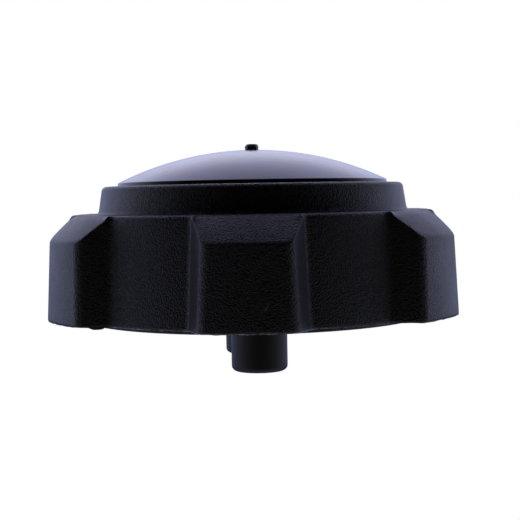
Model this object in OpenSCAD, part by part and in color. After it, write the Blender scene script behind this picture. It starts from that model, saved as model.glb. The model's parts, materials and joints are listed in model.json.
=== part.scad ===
// Screw-on fuel tank cap with a torque-limiting grip and two vent valves.
// The origin lies on the axis, in the plane of the threaded body's rim. +Z points up, away from the tank.
// The valves stand on the Y axis: the pressure valve in front at -Y, the vacuum valve behind it.

/* [Threaded body] */
// Outside diameter of the thread on the filler neck
neck_d = 57.2; // [52:0.1:62]
// Gap between the neck's thread and the wall of the threaded body
neck_gap = 0.3; // [0.1:0.05:0.6]
// Wall of the threaded body at its rim
body_wall = 3; // [2.2:0.1:4]
// How far the outside of the threaded body leans in from its rim to its top
body_draft = 0.8; // [0.2:0.1:1.2]
// Depth from the rim to the face that the gasket lies on
seat_depth = 10.4; // [9:0.1:12]
// Thickness of the plate above the gasket
seat_t = 2.2; // [1.6:0.1:3]
// Chamfer that leads the neck into the thread
mouth_chamfer = 0.8; // [0.3:0.1:1.2]

/* [Grip shell] */
// How far the rim of the threaded body stands below the shell
rim_drop = 1; // [0:0.1:2]
// Height of the shell from its lower edge to the shoulder
skirt_h = 18.8; // [17:0.1:24]
// Wall of the shell
shell_wall = 2.6; // [1.6:0.1:3]
// How far the wall between the lugs leans in up to the shoulder
skirt_draft = 1.2; // [0.4:0.1:2]
// Width of the shoulder between the skirt's top edge and the tier
shoulder_w = 4.6; // [3:0.1:6]
// Height of the tier above the shoulder
tier_h = 5.1; // [4:0.1:7]
// How far the wall of the tier leans in
tier_draft = 0.8; // [0.2:0.1:1.5]
// Radius along the top edge of the tier
tier_edge_r = 0.9; // [0.3:0.1:1.2]
// Radius along the edge of the shoulder
shoulder_edge_r = 0.8; // [0.3:0.1:1.2]

/* [Lugs] */
// Number of lugs round the shell
lug_count = 6; // [5:1:7]
// How far a lug's face stands out from the wall between the lugs
lug_out = 4.4; // [2.5:0.1:6]
// Width of a lug's face along its lower edge
lug_face_w = 15.9; // [9:0.1:18]
// Angle by which a lug widens towards its root, on each flank
lug_flank = 22; // [10:0.5:35]
// Angle by which each flank leans in towards the lug's top
lug_draft = 2.5; // [0:0.5:4]
// Angle by which a lug's face leans in
lug_lean = 2.5; // [0:0.5:6]
// Height on a lug's face at which the slanting top begins
lug_facet_start = 14.25; // [10:0.25:16]
// Radius along the upright edges of a lug
lug_edge_r = 2.3; // [0.5:0.1:2.5]
// Radius along the lower edge of a lug's slanting top
facet_edge_r = 0.6; // [0.2:0.1:1.2]
// Angle from the valves to the nearest lug, with the ratchet seated in its teeth
lug_turn = -5; // [-25:1:25]
// Thickness of the web inside each lug
web_t = 1.4; // [1:0.1:2]

/* [Dome] */
// Rim of the tier that stands round the dome
tier_rim_w = 2.4; // [1.6:0.1:3]
// How far the upright edge of the dome stands above the tier
dome_edge_h = 0.5; // [0:0.1:1.2]
// Depth of the dome's seat below the top of the tier
dome_seat_depth = 0.8; // [0.6:0.1:1.4]
// Rise of the dome from its edge to its crown
dome_rise = 6; // [3:0.1:9]
// Wall of the dome
dome_wall = 2; // [1.4:0.1:2.6]
// Width of the ledge that carries the dome
ledge_w = 3; // [2:0.1:4]
// Thickness of the ledge
ledge_t = 2.1; // [1.4:0.1:3]
// Diameter at the foot of the gate nub
nub_d = 2.7; // [1.5:0.1:4]
// Height of the gate nub
nub_h = 1.1; // [0.5:0.1:2]

/* [Ratchet] */
// Number of teeth in the threaded body's crown
tooth_count = 36; // [24:12:48]
// Depth of a tooth
tooth_depth = 1.1; // [0.6:0.1:1.4]
// Wall of the crown behind the teeth
crown_wall = 1.6; // [1.2:0.1:2]
// Height of the ratchet ring's hub
hub_h = 3.6; // [3:0.1:4]
// Radial width of the hub
hub_w = 2; // [1.4:0.1:2.4]
// Thickness of a sprung arm
arm_t = 1.1; // [0.7:0.1:1.4]
// Height of a sprung arm
arm_h = 3; // [2:0.1:3.2]
// Angle that an arm reaches round the hub
arm_reach = 34; // [24:1:42]
// Width of a driving rib in the shell
drive_rib_w = 2.4; // [1.6:0.1:3]

/* [Snap fit] */
// Height of the snap groove's middle above the rim
groove_z = 7.2; // [6:0.1:8]
// Width of the snap groove
groove_w = 2.6; // [2:0.1:3]
// Depth of the snap groove
groove_depth = 0.9; // [0.5:0.1:1.2]

/* [Gasket and valve plate] */
// Thickness of the neck gasket
gasket_t = 2.2; // [1.5:0.1:3]
// Wall of the collar inside the gasket
collar_wall = 1.5; // [1:0.1:2]
// How far the collar reaches below the gasket's seat
collar_h = 2.8; // [2.4:0.1:3.4]
// Radius of the opening that the valve plate fills
opening_r = 19.7; // [19.2:0.1:20.2]
// Thickness of the valve plate above its spigot
plate_t = 2; // [1.6:0.1:2.6]
// Height of the ring that carries the dust filter
stand_h = 2.8; // [2:0.1:3.2]
// Width of the ribs on the valve plate
plate_rib_w = 1.6; // [1.2:0.1:2]
// Depth of the ribs and bosses below the valve plate
plate_rib_h = 1.6; // [1:0.1:2.4]

/* [Valves] */
// Distance of each valve from the axis
valve_offset = 12.65; // [12.2:0.05:13]
// Outside diameter of a valve body
valve_d = 10.1; // [9:0.1:10.4]
// Bore of a valve body
valve_bore = 6.8; // [6:0.1:7]
// How far the valve bodies reach below the rim
valve_drop = 8.6; // [6:0.1:12]
// Radius round the lower edge of a valve body
valve_edge_r = 1; // [0.4:0.1:1.4]
// Diameter of the flange that holds a valve body in the plate
valve_flange_d = 14; // [13:0.1:15]
// Thickness of that flange
valve_flange_t = 1.4; // [1:0.1:2]
// Diameter of the port that a poppet closes
port_d = 3.5; // [2.5:0.1:4]
// Thickness of the wall round the port
port_wall = 1.5; // [1:0.1:2]
// Height of the sealing lip round the port
lip_h = 0.4; // [0.2:0.1:0.6]
// Thickness of the rubber seal on a poppet
seal_t = 1; // [0.6:0.1:1.5]
// Diameter of that seal
seal_d = 5.8; // [5:0.1:6]
// Thickness of a poppet's guide disc
poppet_t = 1.2; // [0.8:0.1:1.6]
// Travel of a poppet off its seat
valve_travel = 1.2; // [0.6:0.1:1.6]
// Length of a valve spring in place
spring_l = 8.5; // [7.5:0.1:9.5]
// Mean diameter of a valve spring
spring_d = 4.6; // [4.2:0.1:4.8]
// Wire of the pressure spring
pressure_wire = 0.45; // [0.3:0.05:0.5]
// Wire of the vacuum spring
vacuum_wire = 0.35; // [0.25:0.05:0.5]
// Turns in a valve spring
spring_turns = 7; // [5:1:9]
// Section of the ring that seals a valve body in the plate
o_ring_t = 1.16; // [1:0.02:1.3]

/* [Clearances] */
// Running gap between the grip and the threaded body
run_gap = 0.3; // [0.2:0.05:0.5]
// Gap between pieces that are snapped or welded together
seat_gap = 0.3; // [0.1:0.05:0.4]
// Gap between a poppet and the bore that guides it
guide_gap = 0.08; // [0.04:0.01:0.1]
// Gap round a piece that is pressed into a valve body or the plate
press_gap = 0.04; // [0.02:0.01:0.06]

/* [Hidden] */
$fn = 96;

// A cut starts and ends this far past the surface that it opens
past = 1;
// A raised form starts this far inside the wall that it stands on
sunk = 0.5;
// Corners of an outline are drawn in this many steps
corner_steps = 5;
// Radii along the small moulded edges that have no size of their own
fine_edge_r = 0.3;
soft_edge_r = 0.4;

// Radii of the threaded body
thread_r = neck_d / 2 + neck_gap;
rim_r = thread_r + body_wall;

// Heights up the cap
shell_z = rim_drop;
shoulder_z = shell_z + skirt_h;
shoulder_under_z = shoulder_z - shell_wall;
crown_z = shoulder_under_z - run_gap;
tier_z = shoulder_z + tier_h;
dome_seat_z = tier_z - dome_seat_depth;
ledge_z = dome_seat_z - ledge_t;
dome_edge_z = tier_z + dome_edge_h;
seat_top_z = seat_depth + seat_t;
plate_top_z = seat_top_z + plate_t;
stand_z = plate_top_z + stand_h;

// Radius of the threaded body's outside at a height above its rim
function body_r(z) = rim_r - body_draft * z / crown_z;

// Radii of the shell
skirt_r = rim_r + run_gap + shell_wall;
shoulder_r = skirt_r - skirt_draft;
tier_r = shoulder_r - shoulder_w;
tier_top_r = tier_r - tier_draft;
tier_inner_r = tier_r - shell_wall;
dome_r = tier_top_r - tier_rim_w - seat_gap;
ledge_r = dome_r + seat_gap - ledge_w;

// Lugs
lug_face_r = skirt_r + lug_out;
lug_depth = 8;
lug_step = 360 / lug_count;
facet_low_r = lug_face_r - lug_facet_start * tan(lug_lean);
facet_top_inset = 0.2;
facet_top_r = shoulder_r - facet_top_inset;
face_skim = 0.02;
pocket_edge_r = 0.8;
bead_span = 22;
web_rise = 2;
tier_foot_r = 0.5;

// Dome
dome_ball_r = (dome_r * dome_r + dome_rise * dome_rise) / (2 * dome_rise);
dome_top_z = dome_edge_z + dome_rise;
dome_edge_r = 0.25;
leg_t = 1.1;
leg_span = 16;
leg_hook = 0.9;
leg_hook_h = 0.7;
leg_point = 0.3;
leg_tip = 0.2;
leg_r = ledge_r - seat_gap;
leg_end_z = ledge_z - leg_hook_h - seat_gap;
nub_taper = 0.42;
nub_sunk = 0.3;

// Ratchet
root_r = body_r(crown_z) - crown_wall;
tooth_r = root_r - tooth_depth;
tooth_step = 360 / tooth_count;
weld_ring_t = 0.8;
weld_ring_h = 1.8;
plate_lap = 1.9;
plate_r = opening_r + plate_lap;
weld_ring_r = plate_r + seat_gap + weld_ring_t;
hub_r = weld_ring_r + run_gap;
hub_z = seat_top_z + run_gap;
hub_notch_z = hub_z + hub_h / 2;
arm_lift = 0.2;
arm_z = hub_z + arm_lift;
arm_steps = 10;
rib_inset = 0.15;
nose_gap = run_gap;

// Snap fit
bead_gap = 0.35;
bead_slope = 0.4;

// Gasket, valve plate and filter
boss_wall = 1.1;
rib_step = 0.5;
stand_inset = 0.2;
collar_r = opening_r + collar_wall;
gasket_r = thread_r - seat_gap * 2;
stand_t = 1.2;
filter_r = plate_r - stand_inset;
filter_top_z = leg_end_z - 2 * run_gap;
stand_notch_w = 5;

// Valves, counted up from the lower end of a valve body
valve_r = valve_d / 2;
bore_r = valve_bore / 2;
port_r = port_d / 2;
valve_foot_z = -valve_drop;
valve_flange_z = plate_top_z;
valve_head_z = valve_flange_z + valve_flange_t;
lip_t = 0.4;
stud_r = 0.8;
stud_head_r = 1.2;
stud_head_h = 0.5;
stud_head_gap = 0.02;
guide_r = bore_r - guide_gap;
flute_r = 0.9;
pilot_r = 1.4;
pilot_h = 1;
stem_gap = 0.1;
spring_sides = 8;
spring_steps = 20;
closed_turns = 1;
closed_pitch = 1.15;
gland_h = o_ring_t + press_gap;
gland_r = valve_r + o_ring_t + 2 * press_gap;
plug_flange_t = 1.3;
plug_spigot_t = 1;
vent_r = 0.6;
vent_pitch_r = 2.35;
cap_t = 2.2;

// Height of each seat: the face of the rubber seal when the valve is shut
pressure_seat_z = valve_foot_z + port_wall + lip_h;
pressure_spring_z = pressure_seat_z + seal_t + poppet_t;
vacuum_spring_z = valve_foot_z + plug_flange_t + plug_spigot_t;
vacuum_seat_z = vacuum_spring_z + spring_l + poppet_t + seal_t;

// Points of an outline whose corners, given as [x, y, radius], are rounded
function unit(v) = v / norm(v);
function turn_side(u, v) = u[0] * v[1] - u[1] * v[0] < 0 ? 1 : -1;
function corner_arc(before, here, after, r) =
    let (
        u = unit(before - here),
        v = unit(after - here),
        half = acos(u * v) / 2,
        centre = here + unit(u + v) * r / sin(half),
        start = here + u * r / tan(half) - centre,
        from = atan2(start[1], start[0]),
        sweep = turn_side(u, v) * (180 - 2 * half)
    )
    [
        for (k = [0:corner_steps])
            let (a = from + sweep * k / corner_steps)
            centre + r * [cos(a), sin(a)]
    ];
function flat(p) = [p[0], p[1]];
function rounded(corners) =
    let (n = len(corners))
    [
        for (i = [0:n - 1])
            let (
                before = flat(corners[(i + n - 1) % n]),
                here = flat(corners[i]),
                after = flat(corners[(i + 1) % n]),
                r = corners[i][2]
            )
            each r > 0 ? corner_arc(before, here, after, r) : [here]
    ];

// A ring between two radii and two heights
module ring(outer, inner, low, high) {
    rotate_extrude()
        polygon([[inner, low], [outer, low], [outer, high], [inner, high]]);
}

// A disc, pin or hole between two heights
module disc(r, low, high) {
    translate([0, 0, low])
        cylinder(r = r, h = high - low);
}

// Copies its children at equal steps round the axis
module round_axis(count, first = 0) {
    for (i = [0:count - 1])
        rotate(first + i * 360 / count)
            children();
}

// Turns the grip's own frame, in which a lug lies along +X, to where the lugs stand
module grip_frame() {
    rotate(lug_turn - 90)
        children();
}

// A lug's plan drawn upwards, with the flank on its +Y side leaning in and all else left wide open.
// Its front line only touches the lug's face, which is turned, at the corner that it rounds.
module lug_side(half_w, face_r, edge) {
    corner_x = sqrt(face_r * face_r - half_w * half_w) + face_skim;
    root_w = half_w + lug_depth * tan(lug_flank);
    front_x = face_r + past;
    front_y = half_w - (front_x - corner_x) * corner_x / half_w;
    rotate([lug_draft, 0, 0])
        translate([0, 0, -2 * past])
            linear_extrude(skirt_h + 4 * past)
                polygon(rounded([
                    [front_x, -root_w - past, 0], [front_x, front_y, 0], [corner_x, half_w, edge],
                    [corner_x - lug_depth, root_w, 0], [corner_x - lug_depth, -root_w - past, 0]
                ]));
}

// The turned profile that gives a lug its leaning face and its slanting top
module lug_turned(inset, low) {
    facet_run = facet_low_r - facet_top_r;
    facet_rise = skirt_h - lug_facet_start;
    facet_shift = inset * norm([facet_run, facet_rise]) / facet_run;
    lean_shift = inset / cos(lug_lean);
    slope = facet_rise / facet_run;
    drop_in = (facet_shift - lean_shift * slope) / (1 + tan(lug_lean) * slope);
    corner_z = shell_z + lug_facet_start - drop_in;
    corner_r = facet_low_r - lean_shift + drop_in * tan(lug_lean);
    high = shoulder_z - inset;
    inner_r = lug_face_r - lug_depth - past;
    rotate_extrude()
        polygon(rounded([
            [inner_r, low, 0], [corner_r + (corner_z - low) * tan(lug_lean), low, 0],
            [corner_r, corner_z, facet_edge_r], [corner_r - (high - corner_z) / slope, high, 0],
            [inner_r, high, 0]
        ]));
}

// Solid form of one lug along +X, or with an inset the form of the hollow inside it
module lug_form(inset) {
    half_w = lug_face_w / 2 - inset * (1 - sin(lug_flank)) / cos(lug_flank);
    face_r = lug_face_r - inset;
    edge = inset > 0 ? pocket_edge_r : lug_edge_r;
    intersection() {
        translate([face_r, 0, shell_z])
            rotate([0, -lug_lean, 0])
                translate([-face_r, 0, 0])
                    intersection() {
                        lug_side(half_w, face_r, edge);
                        mirror([0, 1, 0])
                            lug_side(half_w, face_r, edge);
                    }
        lug_turned(inset, inset > 0 ? shell_z - past : shell_z);
    }
}

// The shell's outside as it would be turned, before the lugs
module shell_turned() {
    rotate_extrude()
        polygon(rounded([
            [0, shell_z, 0], [skirt_r, shell_z, fine_edge_r],
            [shoulder_r, shoulder_z, shoulder_edge_r],
            [tier_r, shoulder_z, tier_foot_r], [tier_top_r, tier_z, tier_edge_r], [0, tier_z, 0]
        ]));
}

// The space inside the shell: the skirt over the threaded body, the tier, the ledge's hole, the dome's seat
module shell_hollow() {
    rotate_extrude()
        polygon([
            [0, shell_z - past], [body_r(shell_z - past) + run_gap, shell_z - past],
            [body_r(shoulder_under_z) + run_gap, shoulder_under_z], [tier_inner_r, shoulder_under_z],
            [tier_inner_r, ledge_z], [ledge_r, ledge_z], [ledge_r, dome_seat_z],
            [dome_r + seat_gap, dome_seat_z], [dome_r + seat_gap, tier_z + past], [0, tier_z + past]
        ]);
}

// Bead on the shell's inner wall that snaps into the threaded body's groove
module snap_bead() {
    half = groove_w / 2 - bead_gap;
    wall_r = body_r(groove_z) + run_gap;
    rotate(-bead_span / 2)
        rotate_extrude(angle = bead_span)
            polygon([
                [wall_r + sunk, groove_z - half - bead_slope],
                [wall_r + sunk, groove_z + half + bead_slope],
                [body_r(groove_z) - groove_depth + run_gap, groove_z + half - bead_slope],
                [body_r(groove_z) - groove_depth + run_gap, groove_z - half + bead_slope]
            ]);
}

// Rib that hangs from the shell into a notch of the ratchet ring and drives it
module drive_rib() {
    rib_in_r = hub_r + rib_inset;
    rib_out_r = hub_r + hub_w - rib_inset;
    rotate([90, 0, 0])
        linear_extrude(drive_rib_w, center = true)
            polygon([
                [rib_in_r, hub_notch_z + run_gap], [rib_out_r, hub_notch_z + run_gap],
                [rib_out_r, shoulder_under_z], [tier_inner_r + sunk, shoulder_under_z],
                [tier_inner_r + sunk, ledge_z + sunk], [rib_in_r, ledge_z + sunk]
            ]);
}

module grip_shell() {
    color("#1b1b1f")
        grip_frame()
            union() {
                difference() {
                    union() {
                        shell_turned();
                        round_axis(lug_count)
                            lug_form(0);
                    }
                    shell_hollow();
                    round_axis(lug_count)
                        difference() {
                            lug_form(shell_wall);
                            translate([lug_face_r - lug_depth - 2 * past, -web_t / 2, shell_z + web_rise])
                                cube([lug_depth + 2 * past, web_t, skirt_h]);
                        }
                }
                round_axis(lug_count, lug_step / 2)
                    snap_bead();
                round_axis(lug_count)
                    drive_rib();
            }
}

// Leg of the dome that snaps under the ledge
module dome_leg() {
    rotate(-leg_span / 2)
        rotate_extrude(angle = leg_span)
            polygon([
                [leg_r - leg_t, leg_end_z], [leg_r - leg_point, leg_end_z],
                [leg_r + leg_hook, ledge_z - seat_gap - leg_tip], [leg_r + leg_hook, ledge_z - seat_gap],
                [leg_r, ledge_z - seat_gap], [leg_r, dome_seat_z + sunk],
                [leg_r - leg_t, dome_seat_z + sunk]
            ]);
}

module dome_cover() {
    color("#141418")
        grip_frame()
            union() {
                difference() {
                    intersection() {
                        rotate_extrude()
                            polygon(rounded([
                                [0, dome_seat_z, 0], [dome_r, dome_seat_z, 0],
                                [dome_r, dome_edge_z + dome_edge_r, dome_edge_r],
                                [dome_r - 2 * dome_edge_r, dome_top_z + past, 0], [0, dome_top_z + past, 0]
                            ]));
                        translate([0, 0, dome_top_z - dome_ball_r])
                            sphere(r = dome_ball_r);
                    }
                    intersection() {
                        disc(leg_r - leg_t, dome_seat_z - past, dome_top_z);
                        translate([0, 0, dome_top_z - dome_ball_r])
                            sphere(r = dome_ball_r - dome_wall);
                    }
                }
                round_axis(lug_count, lug_step / 2)
                    dome_leg();
                translate([0, 0, dome_top_z - nub_sunk])
                    cylinder(r1 = nub_d / 2, r2 = nub_d / 2 - nub_taper, h = nub_h + nub_sunk);
            }
}

// Outline of one sprung arm, from the hub to the nose that sits in a tooth gap at angle zero
module arm_outline() {
    start_r = hub_r + hub_w - arm_t;
    end_r = tooth_r - run_gap - arm_t;
    lead = -atan2(nose_gap, root_r);
    inner = [for (k = [0:arm_steps]) start_r + (end_r - start_r) * (1 - cos(180 * k / arm_steps)) / 2];
    turn = [for (k = [0:arm_steps]) lead - arm_reach * (1 - k / arm_steps)];
    nose_r = root_r - nose_gap;
    nose_back = lead - tooth_step * (nose_r - end_r - arm_t) / tooth_depth;
    outer_edge = [
        for (k = [0:arm_steps])
            if (turn[k] < nose_back)
                (inner[k] + arm_t) * [cos(turn[k]), sin(turn[k])]
    ];
    inner_edge = [for (k = [arm_steps:-1:0]) inner[k] * [cos(turn[k]), sin(turn[k])]];
    nose = [(end_r + arm_t) * [cos(nose_back), sin(nose_back)], nose_r * [cos(lead), sin(lead)]];
    polygon(concat(outer_edge, nose, inner_edge));
}

module ratchet_ring() {
    color("#e6e2d6")
        grip_frame()
            union() {
                difference() {
                    ring(hub_r + hub_w, hub_r, hub_z, hub_z + hub_h);
                    round_axis(lug_count)
                        translate([hub_r - past, -drive_rib_w / 2 - run_gap, hub_notch_z])
                            cube([hub_w + 2 * past, drive_rib_w + 2 * run_gap, hub_h]);
                }
                round_axis(lug_count)
                    translate([0, 0, arm_z])
                        linear_extrude(arm_h)
                            arm_outline();
            }
}

// The space inside the crown's teeth, round the weld ring: a ring with the tooth gaps in its outer edge
module tooth_gaps() {
    grip_frame()
        translate([0, 0, seat_top_z])
            linear_extrude(crown_z - seat_top_z + past)
                difference() {
                    polygon([
                        for (i = [0:tooth_count - 1])
                            each [
                                root_r * [cos(i * tooth_step), sin(i * tooth_step)],
                                tooth_r * [cos(i * tooth_step), sin(i * tooth_step)]
                            ]
                    ]);
                    circle(r = weld_ring_r);
                }
}

module threaded_body() {
    groove_r = body_r(groove_z) - groove_depth;
    color("#17171a")
        difference() {
            rotate_extrude()
                difference() {
                    polygon(rounded([
                        [opening_r, seat_depth - collar_h, fine_edge_r],
                        [collar_r, seat_depth - collar_h, soft_edge_r],
                        [collar_r, seat_depth, 0], [thread_r, seat_depth, 0], [thread_r, mouth_chamfer, 0],
                        [thread_r + mouth_chamfer, 0, 0], [rim_r, 0, soft_edge_r],
                        [body_r(crown_z), crown_z, fine_edge_r], [plate_r + seat_gap, crown_z, 0],
                        [plate_r + seat_gap, seat_top_z, 0], [opening_r, seat_top_z, 0]
                    ]));
                    translate([groove_r, groove_z - groove_w / 2])
                        square([body_wall, groove_w]);
                    translate([plate_r, seat_top_z + weld_ring_h])
                        square([weld_ring_r - plate_r + past / 2, crown_z]);
                }
            tooth_gaps();
        }
}

module neck_gasket() {
    color("#26262a")
        ring(gasket_r, collar_r + press_gap, seat_depth - gasket_t, seat_depth);
}

// Moves its children to the pressure valve, in front, or to the vacuum valve, behind
module at_pressure_valve() {
    translate([0, -valve_offset, 0])
        children();
}

module at_vacuum_valve() {
    translate([0, valve_offset, 0])
        children();
}

module valve_plate() {
    boss_low = seat_depth - plate_rib_h;
    boss_r = valve_r + boss_wall;
    spigot_r = opening_r - seat_gap;
    color("#1d1d21")
        difference() {
            union() {
                disc(plate_r, seat_top_z, plate_top_z);
                disc(spigot_r, seat_depth, seat_top_z + sunk);
                intersection() {
                    union() {
                        translate([-plate_rib_w / 2, -spigot_r, boss_low])
                            cube([plate_rib_w, 2 * spigot_r, plate_rib_h + sunk]);
                        translate([-spigot_r, -plate_rib_w / 2, boss_low])
                            cube([2 * spigot_r, plate_rib_w, plate_rib_h + sunk]);
                        at_pressure_valve()
                            disc(boss_r, boss_low, seat_depth + sunk);
                        at_vacuum_valve()
                            disc(boss_r, boss_low, seat_depth + sunk);
                    }
                    disc(spigot_r - rib_step, boss_low - past, plate_top_z);
                }
                difference() {
                    ring(filter_r, filter_r - stand_t, plate_top_z - sunk, stand_z);
                    round_axis(4, 45)
                        translate([0, -stand_notch_w / 2, plate_top_z + stand_h / 2])
                            cube([plate_r + past, stand_notch_w, stand_h]);
                }
                translate([-filter_r + stand_t / 2, -plate_rib_w / 2, plate_top_z - sunk])
                    cube([2 * filter_r - stand_t, plate_rib_w, stand_h + sunk]);
            }
            at_pressure_valve()
                valve_hole();
            at_vacuum_valve()
                valve_hole();
        }
}

// Hole for a valve body, with the counterbore that its sealing ring lies in
module valve_hole() {
    disc(valve_r + press_gap, seat_depth - plate_rib_h - past, plate_top_z + past);
    disc(gland_r, plate_top_z - gland_h, plate_top_z + past);
}

module dust_filter() {
    color("#5c5c60")
        disc(filter_r, stand_z, filter_top_z);
}

// Tube and flange that both valve bodies share, from a given height up
module valve_tube(low, low_edge) {
    rotate_extrude()
        polygon(rounded([
            [0, low, 0], [valve_r, low, low_edge], [valve_r, valve_flange_z, 0],
            [valve_flange_d / 2, valve_flange_z, 0],
            [valve_flange_d / 2, valve_head_z, fine_edge_r], [0, valve_head_z, 0]
        ]));
}

// Bore of a valve body between the port's wall and a far height, above or below it
module bore_cut(wall_z, far_z) {
    disc(bore_r, min(wall_z, far_z), max(wall_z, far_z));
}

// The lip itself, between the port's wall and the seal
module seat_lip(wall_z, face_z) {
    ring(port_r + lip_t, port_r, min(wall_z, face_z), max(wall_z, face_z));
}

module pressure_valve_body() {
    wall_top = valve_foot_z + port_wall;
    color("#17171a")
        at_pressure_valve()
            union() {
                difference() {
                    valve_tube(valve_foot_z, valve_edge_r);
                    bore_cut(wall_top, valve_head_z + past);
                    disc(port_r, valve_foot_z - past, wall_top + past);
                }
                seat_lip(wall_top - sunk, pressure_seat_z);
            }
}

module vacuum_valve_body() {
    wall_low = vacuum_seat_z + lip_h;
    tube_foot = valve_foot_z + plug_flange_t;
    color("#17171a")
        at_vacuum_valve()
            union() {
                difference() {
                    valve_tube(tube_foot, 0);
                    bore_cut(wall_low, tube_foot - past);
                    disc(port_r, wall_low - past, valve_head_z + past);
                    bore_cut(wall_low + port_wall, valve_head_z + past);
                }
                seat_lip(wall_low + sunk, vacuum_seat_z);
            }
}

module o_ring() {
    translate([0, 0, plate_top_z - gland_h / 2])
        rotate_extrude()
            translate([valve_r + o_ring_t / 2 + press_gap, 0])
                circle(d = o_ring_t, $fn = 48);
}

module pressure_valve_o_ring() {
    color("#202024")
        at_pressure_valve()
            o_ring();
}

module vacuum_valve_o_ring() {
    color("#202024")
        at_vacuum_valve()
            o_ring();
}

// Poppet that sits on a seal at height zero and is pushed down by its spring
module poppet() {
    difference() {
        union() {
            disc(guide_r, seal_t, seal_t + poppet_t);
            disc(pilot_r, seal_t, seal_t + poppet_t + pilot_h);
            disc(stud_r, -stud_head_h / 2, seal_t + poppet_t / 2);
            disc(stud_head_r, -stud_head_h, -stud_head_gap);
        }
        round_axis(3, 30)
            translate([guide_r, 0, 0])
                disc(flute_r, seal_t - past / 2, seal_t + poppet_t + past / 2);
    }
}

module poppet_seal() {
    ring(seal_d / 2, stud_r + press_gap, 0, seal_t);
}

module pressure_poppet() {
    color("#c9b98a")
        at_pressure_valve()
            translate([0, 0, pressure_seat_z])
                poppet();
}

module pressure_poppet_seal() {
    color("#202024")
        at_pressure_valve()
            translate([0, 0, pressure_seat_z])
                poppet_seal();
}

module vacuum_poppet() {
    color("#c9b98a")
        at_vacuum_valve()
            translate([0, 0, vacuum_seat_z])
                mirror([0, 0, 1])
                    poppet();
}

module vacuum_poppet_seal() {
    color("#202024")
        at_vacuum_valve()
            translate([0, 0, vacuum_seat_z])
                mirror([0, 0, 1])
                    poppet_seal();
}

// Compression spring that stands on height zero, its end turns closed
function coil_z(t, wire) =
    let (
        tight = wire * closed_pitch,
        open_turns = spring_turns - 2 * closed_turns,
        open_rise = spring_l - wire - 2 * closed_turns * tight,
        low = min(t, closed_turns) * tight,
        mid = max(0, min(t - closed_turns, open_turns)) / open_turns * open_rise,
        high = max(0, t - closed_turns - open_turns) * tight
    )
    wire / 2 + low + mid + high;

module coil_spring(wire) {
    count = spring_turns * spring_steps;
    points = [
        for (k = [0:count])
            for (s = [0:spring_sides - 1])
                let (
                    turn = 360 * k / spring_steps,
                    side = 360 * s / spring_sides,
                    r = spring_d / 2 + wire / 2 * cos(side)
                )
                [r * cos(turn), r * sin(turn), coil_z(k / spring_steps, wire) + wire / 2 * sin(side)]
    ];
    skin = [
        for (k = [0:count - 1])
            for (s = [0:spring_sides - 1])
                let (a = k * spring_sides + s, b = k * spring_sides + (s + 1) % spring_sides)
                [a, a + spring_sides, b + spring_sides, b]
    ];
    first_end = [[for (s = [0:spring_sides - 1]) s]];
    last_end = [[for (s = [spring_sides - 1:-1:0]) count * spring_sides + s]];
    polyhedron(points, concat(skin, first_end, last_end));
}

module pressure_spring() {
    color("#b8bcc2")
        at_pressure_valve()
            translate([0, 0, pressure_spring_z])
                coil_spring(pressure_wire);
}

module vacuum_spring() {
    color("#b8bcc2")
        at_vacuum_valve()
            translate([0, 0, vacuum_spring_z])
                coil_spring(vacuum_wire);
}

// Vent holes beside the stem of a spring's abutment
module vents(low, high) {
    round_axis(3)
        translate([vent_pitch_r, 0, 0])
            disc(vent_r, low, high);
}

module pressure_spring_cap() {
    low = pressure_spring_z + spring_l;
    stem_end = pressure_spring_z + pilot_h + valve_travel + stem_gap;
    color("#2a2a2e")
        at_pressure_valve()
            difference() {
                union() {
                    disc(bore_r - press_gap, low, low + cap_t);
                    disc(pilot_r, stem_end, low + sunk);
                }
                vents(low - past, low + cap_t + past);
            }
}

module vacuum_end_plug() {
    stem_end = vacuum_spring_z + spring_l - pilot_h - valve_travel - stem_gap;
    plug_z = valve_foot_z + plug_flange_t;
    color("#17171a")
        at_vacuum_valve()
            difference() {
                union() {
                    rotate_extrude()
                        polygon(rounded([
                            [0, valve_foot_z, 0], [valve_r, valve_foot_z, valve_edge_r],
                            [valve_r, plug_z, 0], [0, plug_z, 0]
                        ]));
                    disc(bore_r - press_gap, plug_z - sunk, vacuum_spring_z);
                    disc(pilot_r, vacuum_spring_z - sunk, stem_end);
                }
                vents(valve_foot_z - past, vacuum_spring_z + past);
            }
}

grip_shell();
dome_cover();
ratchet_ring();
threaded_body();
neck_gasket();
valve_plate();
dust_filter();
pressure_valve_body();
pressure_valve_o_ring();
pressure_poppet();
pressure_poppet_seal();
pressure_spring();
pressure_spring_cap();
vacuum_valve_body();
vacuum_valve_o_ring();
vacuum_poppet();
vacuum_poppet_seal();
vacuum_spring();
vacuum_end_plug();
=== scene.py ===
# %% [markdown]
# # A fuel tank cap, dressed for its portrait
# The cap is already modelled as solids: a grained shell that the hand turns, a glossy dome on top, a smooth
# threaded body inside it, and two small valve bodies that hang below. Those solids give every size. This
# lesson adds what solids lack: soft moulded edges, the grain of the shell, the thin flash along its lower
# edge, the thread that grips the filler neck, and a finish for every piece. Everything is in metres here,
# so the sizes are written in millimetres and multiplied by mm.

# %% Load the solids
import json
import math

import bmesh
import bpy
import numpy as np
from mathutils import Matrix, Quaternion, Vector

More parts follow.
